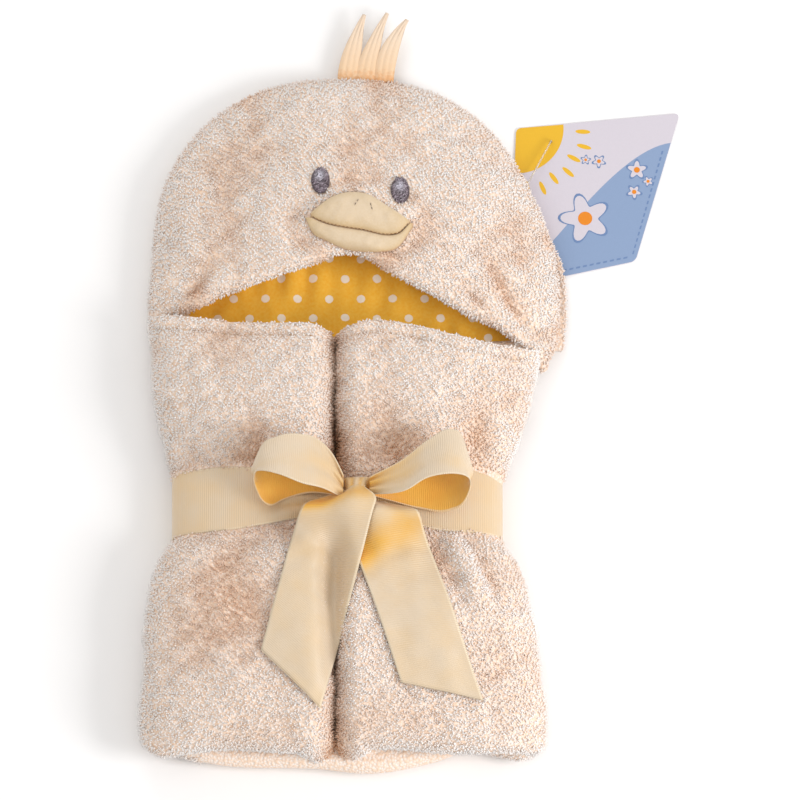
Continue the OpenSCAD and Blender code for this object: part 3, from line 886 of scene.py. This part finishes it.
def embroidered_eye(name, centre, node, material):
    """Oval of crossing threads with a pale glint worked into its upper middle."""
    half = np.array([6.3, 9.6])
    rows = np.repeat(np.linspace(-0.93, 0.93, 22), 9)
    spots = rng.uniform(-0.8, 0.8, len(rows)) * np.sqrt(1 - rows**2)
    x, y = centre[0] + half[0] * spots, centre[1] + half[1] * rows
    r = np.hypot(spots, rows)
    z = height_on(HOOD_TREE, x[None], y[None])[0] + 1.7 + 1.4 * np.sqrt(1 - np.clip(r, 0, 1) ** 2)
    angle = rng.normal(0.6, 0.6, len(rows))
    axis = np.stack([np.cos(angle), np.sin(angle), rng.normal(0, 0.12, len(rows))], 1)
    glint = bump(np.hypot(spots + 0.08, (rows - 0.33) * 1.3), 0.42)
    threads = beans_on(name + "_threads", np.stack([x, y, z], 1), axis, 4.2, 0.62,
                       {"tone": rng.random(len(rows)), "glint": glint})
    a = np.radians(np.arange(0, 360, 9))
    k = np.linspace(0.02, 1, 9)
    gx = centre[0] + half[0] * k[None] * np.cos(a)[:, None]
    gy = centre[1] + half[1] * k[None] * np.sin(a)[:, None]
    gz = height_on(HOOD_TREE, gx, gy) + 1.0 + 1.3 * np.sqrt(1 - k**2)[None]
    ring = np.stack([gx, gy, gz], 2)
    shape = ring.shape[:2]
    dull = {"tone": np.full(shape, 0.1), "glint": np.zeros(shape)}
    ground = cloth(name + "_ground", ring, 0.8, dull, ring=True)
    o = join_meshes(name, [threads, ground])
    o.data.materials.clear()
    o.data.materials.append(material)
    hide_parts(node)
    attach(o, "hood")


def face():
    fleece = fleece_material()
    bill_half("bill_lower_pad", LOWER_BILL, UPPER_BILL, 5.5, "bill_lower", fleece)
    upper = bill_half("bill_upper_pad", UPPER_BILL, BILL_CROWN, 7.5, "bill_upper", fleece)

    tree = surface_tree(upper)
    seam_thread = thread_material("bill_thread", rgb(104, 66, 30), rgb(150, 104, 54))
    x = np.linspace(UPPER_BILL[0][0] + 1.2, UPPER_BILL[-1][0] - 1.2, 160)
    edge = np.stack([x, curve(UPPER_BILL, x) + 0.45, 0 * x], 1)
    back = x[::-1][70:]
    crown = np.stack([back, curve(BILL_CROWN, back) - 0.4, 0 * back], 1)
    for row in (edge, crown):
        row[:, 2] = height_on(tree, row[None, :, 0], row[None, :, 1])[0] + 0.15
    rows = [stitch_row(f"bill_row_{i}", row, 2.6, 0.36, 0.95) for i, row in enumerate((edge, crown))]
    seam = join_meshes("bill_seam", rows)
    nostrils = []
    for i, (start, end) in enumerate((((6.5, 240), (9.5, 245.5)), ((17.5, 242.5), (19, 237)))):
        line = path([start, end], 12)
        z = height_on(tree, line[None, :, 0], line[None, :, 1])[0] + 0.3
        nostrils.append(stitch_row(f"nostril_{i}", np.column_stack([line, z]), 2.9, 0.42, 1.0))
    nostril = join_meshes("nostril_threads", nostrils)
    dark = thread_material("nostril_thread", rgb(96, 78, 66), rgb(132, 112, 92))
    for o, node, material in ((seam, "bill_stitching", seam_thread), (nostril, "nostril_stitches", dark)):
        o.data.materials.clear()
        o.data.materials.append(material)
        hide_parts(node)
        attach(o, "hood")

    m = Nodes("eye_thread", Roughness=0.42, Sheen_Weight=0.3)
    plum = m.ramp(m.attribute("tone"), (0.0, rgb(66, 50, 58)), (0.5, rgb(112, 94, 106)),
                  (1.0, rgb(188, 174, 186)))
    m.colour(m.mix(m.attribute("glint"), plum, rgb(240, 236, 250)))
    m.bump(m.noise(3500, 2), 0.5, 0.0003)
    for name, centre in EYES.items():
        embroidered_eye(name + "_embroidery", centre, name, m.mat)


# Tuft ------------------------------------------------------------------------
# Each feather: left and right of its base, tip, and how late its left and right edge bend
TUFT_X, TUFT_Y = (TUFT_LOW[0] + TUFT_HIGH[0]) / 2, TUFT_LOW[1]
FEATHERS = [(-23, -10, -4, 47, 2.0, 0.6), (-11, 4, 12, 48, 1.8, 1.5), (3, 16, 26, 43, 2.8, 1.5)]


def tuft():
    m = Nodes("felt", Roughness=1.0, Sheen_Weight=0.4, Specular_IOR_Level=0.1)
    # Painted shade: darker and more orange towards the feathers' base, where they rise from the hood; the
    # mottle varies at random
    rise = m.math("ADD", m.attribute("along"), m.math("MULTIPLY", m.noise(420, 4), 0.35))
    m.colour(m.ramp(rise, (0.12, rgb(222, 158, 98)), (0.38, rgb(236, 204, 168)), (0.9, rgb(236, 214, 190))))
    m.bump(m.noise(1400, 4), 0.5, 0.0006)
    feathers = []
    t = np.linspace(0, 0.985, 44)[:, None]
    w = np.linspace(-1, 1, 15)[None]
    for i, (left, right, tip_x, tip_y, bend_left, bend_right) in enumerate(FEATHERS):
        edge_l = left + (tip_x - left) * t**bend_left
        edge_r = right + (tip_x - right) * t**bend_right
        x = TUFT_X + (edge_l + edge_r) / 2 + (edge_r - edge_l) / 2 * w
        y = TUFT_Y - 3 + (tip_y + 3) * t + 0 * w
        z = TUFT_LOW[2] + 1.6 + 0.3 * i + 2.2 * t**2 - 1.1 * w**2 + 0.35 * np.cos(w * 11)
        o = cloth(f"feather_{i}", np.stack([x, y, z], 2), 2.2, {"along": t + 0 * w})
        o.data.materials.append(m.mat)
        feathers.append(o)
    o = join_meshes("tuft_feathers", feathers)
    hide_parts("tuft")
    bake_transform(o)


# Ribbon ----------------------------------------------------------------------
def satin_material():
    """Ribbed satin that is pale outside, with painted light that turns it yellow where light passes through
    folds, and painted shade in its folds and by the knot.
    """
    m = Nodes("satin_ribbon", Roughness=0.36, Sheen_Weight=0.25, Anisotropic=0.4, Specular_IOR_Level=0.45)
    rib = m.math("SINE", m.math("MULTIPLY", m.attribute("along"), 2 * math.pi / 1.5))
    cloudy = m.math("MULTIPLY", m.math("SUBTRACT", m.noise(55, 3), 0.5), 0.35)
    # Painted light and shade: each piece's value turns the satin from pale to strong yellow and orange; the
    # cloudiness and ribs are the cloth's own
    warm = m.math("ADD", m.attribute("painted_glow_and_shade"), cloudy)
    warm = m.math("SUBTRACT", warm, m.math("MULTIPLY", rib, 0.035))
    satin = m.ramp(warm, (0.05, rgb(217, 198, 172)), (0.35, rgb(222, 190, 142)),
                   (0.66, rgb(232, 178, 76)), (1.0, rgb(222, 134, 38)))
    edge = m.ramp(m.math("ABSOLUTE", m.attribute("across")), (0.93, 0.0), (0.96, 1.0))
    m.colour(m.mix(m.math("MULTIPLY", edge, 0.55), satin, rgb(234, 218, 190)))
    m.bump(rib, 0.35, 0.0003)
    return m.mat


def ribbon_piece(name, p, painted_glow_and_shade, node, ring=False):
    """Ribbon along a grid [station][across], with its length and width as attributes."""
    along = run_length(p.mean(1))[:, None] + 0 * p[:, :, 0]
    across = np.linspace(-1, 1, p.shape[1])[None] + 0 * along
    o = cloth(name, p, RIBBON_T, {"along": along, "across": across, "painted_glow_and_shade": painted_glow_and_shade + 0 * along}, ring=ring)
    o.data.materials.append(SATIN)
    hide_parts(node)
    return o


def pleats(w, count, phase=0.0):
    return np.cos(2 * math.pi * (count * w + phase))


def band():
    halves = []
    for side in (-1, 1):
        x, z = section(side, BAND_Y)
        keep = (np.abs(x - GAP_X) > 19) | (z < WIDEST_Z)
        keep &= np.cumsum(~keep) == 0
        halves.append((x[keep], z[keep]))
    x = np.concatenate([halves[0][0], halves[1][0][::-1]])
    z = np.concatenate([halves[0][1], halves[1][1][::-1]])
    length = run_length(np.stack([x, z], 1))
    even = np.linspace(0, length[-1], 321)[:-1]
    x, z = np.interp(even, length, x), np.interp(even, length, z)
    for _ in range(3):
        x, z = [(np.roll(a, 1) + a + np.roll(a, -1)) / 3 for a in (x, z)]
    dx, dz = np.roll(x, -1) - np.roll(x, 1), np.roll(z, -1) - np.roll(z, 1)
    size = np.hypot(dx, dz)
    out_x, out_z = -dz / size, dx / size
    lift = PLY / 2 + 1.1
    top = smooth((z - 30) / 12)
    width = band_width(x, z)
    w = np.linspace(-0.5, 0.5, 25)
    drawn = (1 - width / BAND_WIDTH)[:, None]
    wave = 0.5 * top[:, None] * np.sin(x / 9)[:, None] * w[None] ** 2 * 4
    rise = lift + 2.6 * drawn * (1 + pleats(w, 3)[None]) + wave
    p = np.stack([x[:, None] + out_x[:, None] * rise,
                  BAND_Y + w[None] * width[:, None] + 0.7 * np.sin(x / 15)[:, None] * top[:, None],
                  z[:, None] + out_z[:, None] * rise], 2)
    # Painted light and shade: warmer in the pleats by the knot and down the bundle's sides
    painted_glow_and_shade = 0.1 + 0.6 * drawn * (0.75 - 0.35 * pleats(w, 3)[None]) + 0.1 * (1 - top[:, None])
    o = ribbon_piece("ribbon_round_waist", p, painted_glow_and_shade, "ribbon_band", ring=True)
    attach(o, "bundle")


def knot():
    a = np.radians(np.linspace(-95, 95, 34))[:, None]
    w = np.linspace(-1, 1, 23)[None]
    half = 8 + 3.5 * np.abs(np.sin(a)) ** 2
    x = KNOT_X + half * w + 2.0 * np.sin(a)
    swell = 1 - 0.45 * np.abs(w) ** 2.5 + 0.06 * pleats(w, 1.6, 0.2)
    y = BAND_Y + 12.5 * np.sin(a) * (0.85 + 0.15 * swell)
    z = KNOT_LOW[2] + (KNOT_HIGH[2] - KNOT_LOW[2]) * np.clip(np.cos(a), 0, 1) ** 0.8 * swell
    # Painted light and shade: warmer towards the knot's edges and in the troughs of its pleats
    painted_glow_and_shade = 0.35 + 0.4 * np.abs(w) ** 2 - 0.15 * pleats(w, 1.6, 0.2)
    o = ribbon_piece("ribbon_knot", np.stack([x, y, z], 2), painted_glow_and_shade, "bow_knot")
    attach(o, "bundle")


def loop(side, reach, tall, hood_edge, foot_edge, low_edge, node):
    """Loop of the bow: out along its upper limb, round its far end and back beneath.

    The edges give the Y beyond the band's middle for each part of the reach: the upper
    limb's edge towards the hood, its edge towards the foot, and the lower limb's foot edge.
    """
    a = np.radians(np.linspace(165, -165, 130))[:, None]
    t = np.linspace(0, 1, 27)[None]
    out = (1 + np.cos(a)) / 2
    upper = (1 + np.tanh(4 * np.sin(a))) / 2
    rise = tall / 2 * np.sin(a) * np.cos(a / 2) + tall * 0.16 * out
    high, foot, low = curve(hood_edge, out), curve(foot_edge, out), curve(low_edge, out)
    foot = low + (foot - low) * upper
    y = BAND_Y + high + (foot - high) * t
    tilt = 9 * upper * smooth(out / 0.4) - 4 * (1 - upper) * out
    fold = np.exp(-out / 0.25)
    x = KNOT_X + side * (8 + reach * out + 1.2 * np.sin(6 * t) * out)
    z = (LOOP_Z + rise + tilt * (t - 0.5) + 2.2 * fold * pleats(t, 2.5, 0.1) * (0.4 + 0.6 * upper)
         - 1.6 * np.sin(math.pi * t) * out * (1 - out) * 4 * upper)
    # Painted light and shade: strong yellow on the lower limb, seen through the loop, and in the fold by
    # the knot; warmer on the right loop's upper limb near the knot, with a soft band along each upper limb
    painted_glow_and_shade = (0.02 + 0.68 * (1 - upper)) * (1 - 0.35 * fold) + 0.4 * fold
    painted_glow_and_shade = painted_glow_and_shade + 0.22 * upper * (1 - smooth((out - 0.45) / 0.12)) * (side > 0) * (1 - t)
    painted_glow_and_shade = painted_glow_and_shade + 0.1 * upper * bump(t - 0.35 - 0.4 * out, 0.18)
    name = "ribbon_loop_left" if side < 0 else "ribbon_loop_right"
    o = ribbon_piece(name, np.stack([x, y, z], 2)[:: -side], (painted_glow_and_shade + 0 * x)[:: -side], node)
    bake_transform(o)


def tail(side, centre, turn, painted_glow_shade_at, painted_glow_shade_slope, node):
    """Tail from the knot to its slanted end, lying on the folds.

    turn is its tilt at both ends, and the painted light and shade fall at a distance that slopes across it.
    """
    stations, count = 90, 27
    t = np.linspace(0, 1, stations)[:, None]
    w = np.linspace(-0.5, 0.5, count)[None]
    line = path(centre, stations)
    away = run_length(line[:, :2])[:, None]
    ahead = np.gradient(line[:, :2], axis=0)
    ahead /= np.linalg.norm(ahead, axis=1, keepdims=True)
    angle = np.radians(turn[0] + (turn[1] - turn[0]) * smooth(t / 0.7))
    width = RIBBON * (0.42 + 0.58 * smooth(away / 17))
    cut = 2 * TAIL_SLANT * w * smooth((t - 0.45) / 0.55)
    x = line[:, 0:1] + w * width * np.cos(angle) + cut * ahead[:, 0:1]
    y = line[:, 1:2] + w * width * np.sin(angle) + cut * ahead[:, 1:2]
    local = height_on(TOWEL_TREE, x, y)
    ground = np.maximum(soften(local, 40) + 2.8, local + 3.4)
    near = np.exp(-away / 26)
    drooping = 4 * near * (2 * w) ** 4 * (side * w > 0)
    flying = line[:, 2:3] + 2.5 * near * pleats(w, 1.4, 0.12 * side) - drooping
    flying = flying - (8 * smooth(-(w + 0.05) / 0.4) if side > 0 else 0)
    landed = smooth((away - 22) / 26)
    z = flying * (1 - landed) + (ground + 0.5 * np.sin(away / 13 + 5 * w)) * landed
    z = np.maximum(z, ground * (away > 20))
    if side < 0:  # it passes over the left side of the other tail
        z = z + 5.5 * smooth((w + 0.15) / 0.45) * (1 - smooth((away - 28) / 30))
    # Painted light and shade: a warm band across the tail at that distance, and warmer in the troughs of
    # its pleats near the knot
    painted_glow_and_shade = 0.1 + 0.6 * bump(away - painted_glow_shade_at - painted_glow_shade_slope * w, 7 + 0.2 * painted_glow_shade_at) * (0.8 - 0.5 * w)
    painted_glow_and_shade = painted_glow_and_shade + 0.1 * near * (1 - pleats(w, 1.4, 0.12 * side))
    name = "ribbon_end_left" if side < 0 else "ribbon_end_right"
    o = ribbon_piece(name, np.stack([x, y, soften(z, 3)], 2)[:, ::-1], painted_glow_and_shade[:, ::-1], node)
    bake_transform(o)


# Hang tag ---------------------------------------------------------------------
TAG_CORNERS = np.array([[118.5, 316], [232, 327], [201, 219], [115.5, 200]])  # clockwise from top left
TAG_HOLE = np.array([143.0, 306.0])
TAG_HOLE_R = 2.5
THREAD_R = 0.5  # of the clear thread that holds the card


def on_card(u, v):
    """Point of the card for u to the right and v down, both from 0 to 1."""
    u, v = np.asarray(u, float)[..., None], np.asarray(v, float)[..., None]
    top = TAG_CORNERS[0] * (1 - u) + TAG_CORNERS[1] * u
    foot = TAG_CORNERS[3] * (1 - u) + TAG_CORNERS[2] * u
    return top * (1 - v) + foot * v


def ink(name, outline_mm, level, material, inner_mm=None):
    """Flat print on the card: a filled outline, or the stroke between two outlines."""
    z = TAG_HIGH[2] + level * 0.04
    ring = np.column_stack([outline_mm, np.full(len(outline_mm), z)])
    if inner_mm is None:
        o = new_mesh(name, ring, [list(range(len(ring)))], smooth_faces=False)
    else:
        inner = np.column_stack([inner_mm, np.full(len(inner_mm), z)])
        n = len(ring)
        i = np.arange(n)
        faces = np.stack([i, (i + 1) % n, (i + 1) % n + n, i + n], 1)
        o = new_mesh(name, np.concatenate([ring, inner]), faces, smooth_faces=False)
    o.data.materials.append(material)
    return o


def print_material(name, colour):
    m = Nodes(name, Roughness=0.38, Specular_IOR_Level=0.4)
    grain = m.mix(0.5, colour, tuple(min(1, c * 1.12) for c in colour))
    m.colour(m.mix(m.noise(900, 3), colour, grain))
    m.bump(m.noise(1800, 2), 0.08, 0.0002)
    return m.mat


def flower_outline(centre, radius, turn, n=60):
    """Plain five-petal flower."""
    a = np.linspace(0, 2 * math.pi, n, endpoint=False)
    r = radius * (0.76 + 0.24 * np.cos(5 * (a - turn)))
    return centre + np.stack([r * np.cos(a), r * np.sin(a)], 1)


def oval(centre, long, wide, turn, n=24):
    a = np.linspace(0, 2 * math.pi, n, endpoint=False)
    x, y = long * np.cos(a), wide * np.sin(a)
    c, s = math.cos(turn), math.sin(turn)
    return np.asarray(centre) + np.stack([x * c - y * s, x * s + y * c], 1)


def card_outline(radius=4.0):
    """Outline of the card with rounded corners."""
    points = []
    for i in range(4):
        corner = TAG_CORNERS[i]
        before = TAG_CORNERS[i - 1] - corner
        after = TAG_CORNERS[(i + 1) % 4] - corner
        a = corner + before / np.linalg.norm(before) * radius
        b = corner + after / np.linalg.norm(after) * radius
        for t in np.linspace(0, 1, 10):
            points.append(a * (1 - t) ** 2 + 2 * corner * t * (1 - t) + b * t**2)
    return np.array(points)


def hang_tag():
    edge = card_outline()
    n = len(edge)
    low, high = TAG_LOW[2], TAG_HIGH[2]
    a = np.arctan2(edge[:, 1] - TAG_HOLE[1], edge[:, 0] - TAG_HOLE[0])
    hole = TAG_HOLE + TAG_HOLE_R * np.stack([np.cos(a), np.sin(a)], 1)
    levels = (hole, high), (edge, high), (edge, low), (hole, low)
    rings = [np.column_stack([r, np.full(n, z)]) for r, z in levels]
    faces = []
    i = np.arange(n)
    for k in range(4):
        m = (k + 1) % 4
        faces.append(np.stack([i + k * n, i + m * n, (i + 1) % n + m * n, (i + 1) % n + k * n], 1))
    card = new_mesh("card_board", np.concatenate(rings), np.concatenate(faces), smooth_faces=False)
    pale = print_material("card_pale", rgb(204, 198, 207))
    blue = print_material("ink_blue", rgb(134, 155, 188))
    deep_blue = print_material("ink_deep_blue", rgb(104, 130, 172))
    sun = print_material("ink_sun", rgb(224, 176, 40))
    orange = print_material("ink_orange", rgb(222, 132, 28))
    card.data.materials.append(pale)
    parts = [card]

    # Blue corner, under a curve from the right edge down to the left one
    u = np.linspace(0, 1, 30)
    curve_v = 0.92 - 0.72 * smooth(u * 0.98 + 0.02)
    parts.append(ink("blue_corner", np.concatenate([on_card(u, curve_v), edge[20:40]]), 1, blue))

    # Quarter sun in the top left corner with its rays
    corner = on_card(0.0, 0.0)
    a = np.radians(np.linspace(-93, 5, 24))
    quarter = corner + 33 * np.stack([np.cos(a), np.sin(a)], 1)
    quarter[:, 0] = np.maximum(quarter[:, 0], corner[0] - 1.2)
    parts.append(ink("sun", np.concatenate([edge[0:10], quarter[::-1]]), 1, sun))
    for k, degrees in enumerate(np.linspace(-80, -3, 7)):
        way = np.array([math.cos(math.radians(degrees)), math.sin(math.radians(degrees))])
        far = 44 + 3 * (k % 2) + 0.4 * k
        parts.append(ink(f"ray_{k}", oval(corner + way * far, 5.2, 1.6, math.radians(degrees)), 1, sun))

    def flower(name, u, v, radius, turn, line=1.5):
        """Plain five-petal flower: pale petals, an outline and a round eye."""
        centre = on_card(u, v)
        outer, inner = (flower_outline(centre, r, turn) for r in (radius, radius - line))
        parts.append(ink(name + "_line", outer, 3, deep_blue, inner))
        parts.append(ink(name + "_petals", inner, 3, pale))
        parts.append(ink(name + "_eye", oval(centre, radius * 0.26, radius * 0.26, turn), 5, orange))

    flower("big_flower", 0.52, 0.64, 19, 0.6, 1.8)
    flower("flower_a", 0.82, 0.36, 8, 0.3)
    flower("flower_b", 0.84, 0.51, 6, 1.0)
    flower("flower_c", 0.92, 0.45, 4.2, 0.7, 1.0)
    flower("flower_d", 0.55, 0.27, 5.2, 0.9, 1.2)
    flower("flower_e", 0.46, 0.25, 3.8, 0.2, 1.0)

    # Dashes along the right and bottom edges
    for k in range(17):
        v0 = 0.25 + 0.042 * k
        parts.append(ink(f"dash_r{k}", on_card(np.array([0.955, 0.967, 0.967, 0.955]),
                                               np.array([v0, v0, v0 + 0.024, v0 + 0.024])), 2, deep_blue))
    for k in range(16):
        u0 = 0.08 + 0.054 * k
        parts.append(ink(f"dash_b{k}", on_card(np.array([u0, u0 + 0.032, u0 + 0.032, u0]),
                                               np.array([0.955, 0.955, 0.967, 0.967])), 2, deep_blue))
    o = join_meshes("tag_card", parts)
    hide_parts("hang_tag")
    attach(o, "tag")


def tube(name, points, radius, sides=10):
    points = np.asarray(points, float)
    ahead = np.gradient(points, axis=0)
    ahead /= np.linalg.norm(ahead, axis=1, keepdims=True)
    side = np.cross(ahead, (0.31, 0.2, 0.93))
    side /= np.linalg.norm(side, axis=1, keepdims=True)
    up = np.cross(side, ahead)
    a = np.radians(np.arange(sides) * 360 / sides)
    round_it = np.cos(a)[:, None, None] * side[None] + np.sin(a)[:, None, None] * up[None]
    p = points[None] + radius * round_it
    return cloth(name, p, radius * 0.5, ring=True)


def fastener():
    m = Nodes("clear_plastic", Roughness=0.12, Transmission_Weight=0.85, IOR=1.45)
    m.colour(m.mix(m.noise(200, 2), rgb(250, 246, 236), rgb(255, 253, 248)))
    # Straight from the hood's seam to the card, then down through its hole, as in CAD
    seam, bend, foot = (125, 270, 8), (*TAG_HOLE, 4), (*TAG_HOLE, 0.1)
    run = np.concatenate([np.linspace(seam, bend, 14), np.linspace(bend, foot, 6)[1:]])
    o = tube("tag_thread", run, THREAD_R)
    o.data.materials.append(m.mat)
    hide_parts("tag_fastener")
    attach(o, "hood")


TOWEL_TREE = surface_tree(TOWEL)
HOOD_TREE = surface_tree(HOOD)
hem_stitches()
face()
tuft()
SATIN = satin_material()
LOOP_Z = 62.0  # height of the middle of the bow's loops
TAIL_SLANT = 15.0  # how far each tail's cut runs out towards its right corner
band()
knot()
loop(-1, 63, 42, [(0, 8), (0.13, 24), (0.3, 34), (0.5, 36), (0.75, 33), (0.93, 25), (1, 13)],
     [(0, -6), (0.2, -3), (0.46, -2), (0.7, 3), (1, 9)],
     [(0, -4), (0.45, 1), (0.7, -4), (0.82, -8), (0.93, -4), (1, 4)], "bow_loop_left")
loop(1, 71, 46, [(0, 8), (0.35, 19), (0.59, 31), (0.8, 38), (0.9, 35), (0.96, 24), (1, 14)],
     [(0, -3), (0.39, -6), (0.55, 0), (0.75, 3), (1, 4)],
     [(0, -3), (0.2, -5), (0.5, -9), (0.8, -11), (0.95, -6), (1, 0)], "bow_loop_right")
tail(-1, [(4, 36, 56), (-3, 22, 69), (-10, 2, 65), (-20, -36, 60), (-37, -102, 60)], (8, -14), 10, -12,
     "ribbon_tail_left")
tail(1, [(17, 28, 56), (25, 15, 71), (32, -5, 60), (46, -46, 60), (67, -110, 60)], (-4, 20), 32, -14,
     "ribbon_tail_right")
hang_tag()
fastener()


# Light, camera and floor ----------------------------------------------------
def stage():
    reach, z = 4000, -0.6
    corners = [(-reach, -reach, z), (reach, -reach, z), (reach, reach, z), (-reach, reach, z)]
    floor = new_mesh("floor", corners, [[0, 1, 2, 3]])
    m = Nodes("floor", Roughness=0.9)
    m.colour(m.mix(m.noise(3, 2), (0.97, 0.97, 0.97), (0.95, 0.95, 0.955)))
    floor.data.materials.append(m.mat)

    world = bpy.data.worlds.new("studio")
    bpy.context.scene.world = world
    world.use_nodes = True
    world.node_tree.nodes["Background"].inputs[0].default_value = (1, 0.99, 0.98, 1)
    world.node_tree.nodes["Background"].inputs[1].default_value = 0.74

    def area(name, place, target, width, power, colour=(1, 1, 1)):
        light = bpy.data.lights.new(name, "AREA")
        light.size = width
        light.energy = power
        light.color = colour
        o = bpy.data.objects.new(name, light)
        bpy.context.scene.collection.objects.link(o)
        o.location = place
        o.rotation_euler = (Vector(target) - Vector(place)).to_track_quat("-Z", "Y").to_euler()

    area("key", (1.3, -0.5, 1.0), (0, 0.1, 0), 0.7, 16.5, (1, 0.985, 0.985))
    area("fill", (-0.9, -0.3, 1.4), (0, 0.2, 0), 1.0, 2, (1, 0.95, 0.9))
    area("head", (-0.3, 1.5, 0.9), (0, 0.25, 0), 1.0, 5, (1, 0.98, 0.97))


def camera():
    """Looks from the foot end, 72 degrees above the table, as the photograph does."""
    target = Vector((38, 110, 25)) * MM
    distance = 16.0  # far enough for almost no perspective, as the CAD's outlines were read
    up = math.radians(72)
    data = bpy.data.cameras.new("camera")
    cam = bpy.data.objects.new("camera", data)
    bpy.context.scene.collection.objects.link(cam)
    cam.location = target + distance * Vector((0, -math.cos(up), math.sin(up)))
    cam.rotation_euler = (target - cam.location).to_track_quat("-Z", "Y").to_euler()
    data.sensor_width = 36
    data.lens = data.sensor_width * distance / 0.552  # 0.552 m of the table fills the picture
    data.clip_start = 0.05
    bpy.context.scene.camera = cam


stage()
camera()
bpy.context.scene.view_settings.view_transform = "Standard"
